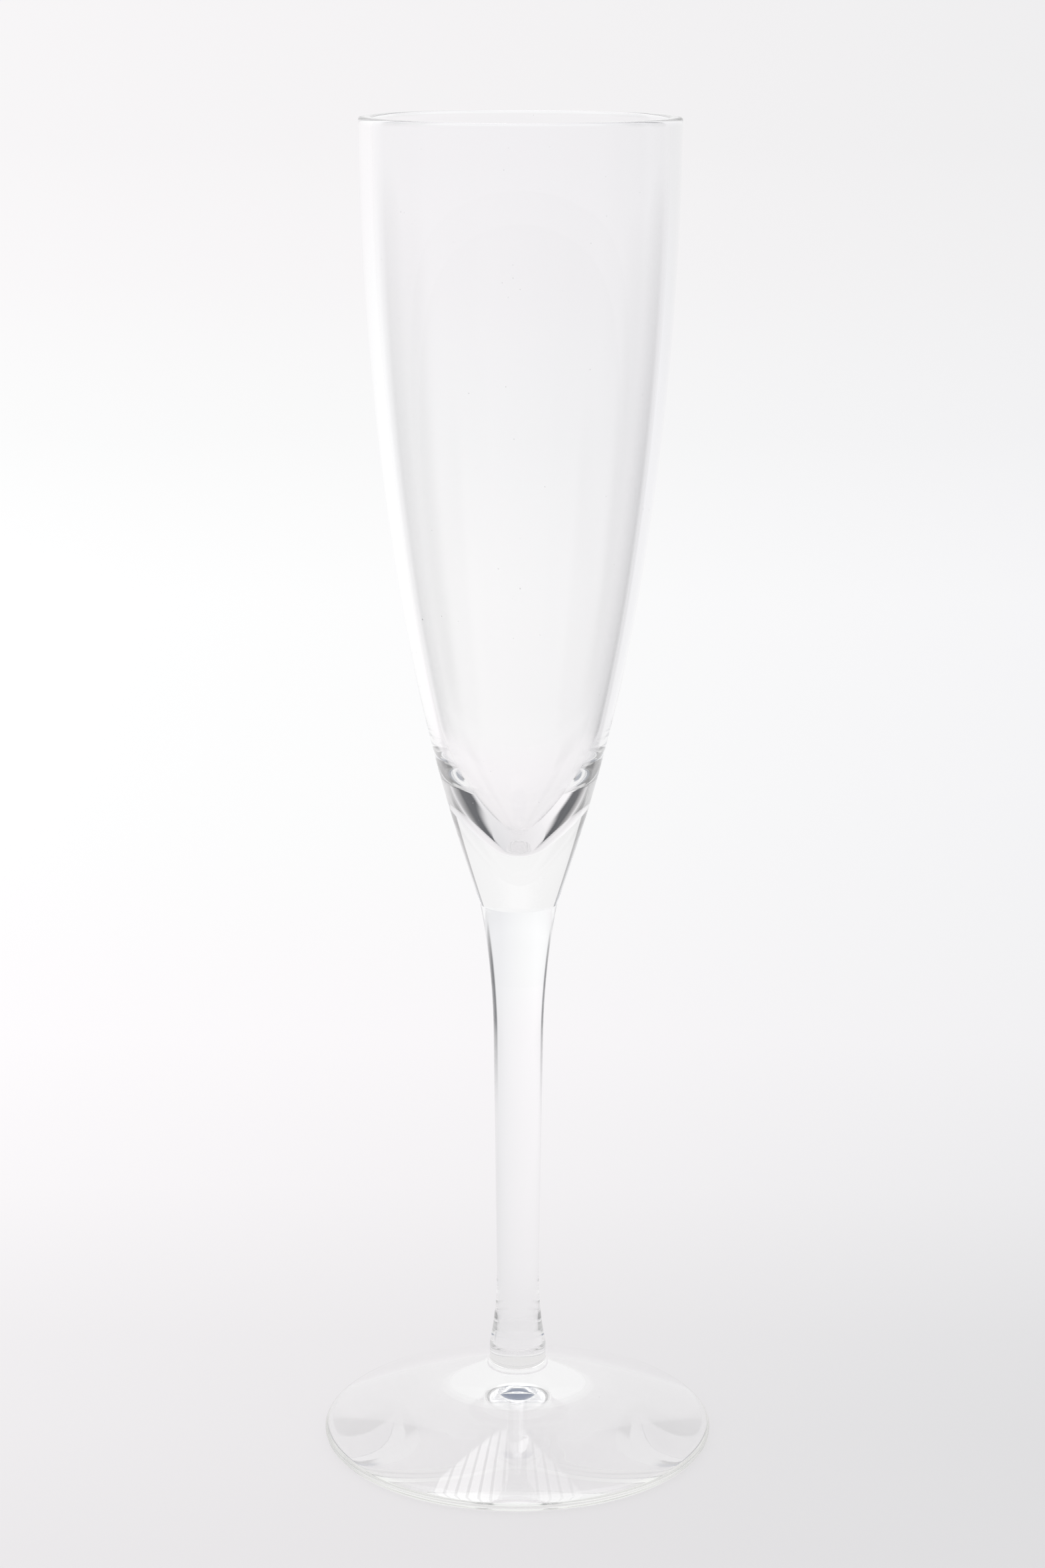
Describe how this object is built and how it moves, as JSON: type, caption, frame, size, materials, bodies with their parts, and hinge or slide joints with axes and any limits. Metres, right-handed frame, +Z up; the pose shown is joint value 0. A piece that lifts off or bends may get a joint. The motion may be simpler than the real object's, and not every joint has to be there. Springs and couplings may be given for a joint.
{
  "type": "champagne flute",
  "caption": "Tall slender stemmed drinking glass with an open flared bowl, a solid taper, a thin drawn stem and a domed disc foot.",
  "frame": {"origin": "centre of the ring under the foot that touches the table", "axes": "+Z up along the axis of revolution, towards the rim; +X and +Y are free because the glass is round"},
  "size_m": [0.0686, 0.0686, 0.23],
  "materials": {
    "bowl_glass": "gloss",
    "stem_glass": "gloss",
    "foot_glass": "gloss"
  },
  "bodies": {
    "root": {"bowl": "bowl_glass", "stem": "stem_glass", "foot": "foot_glass"}
  },
  "joints": []
}
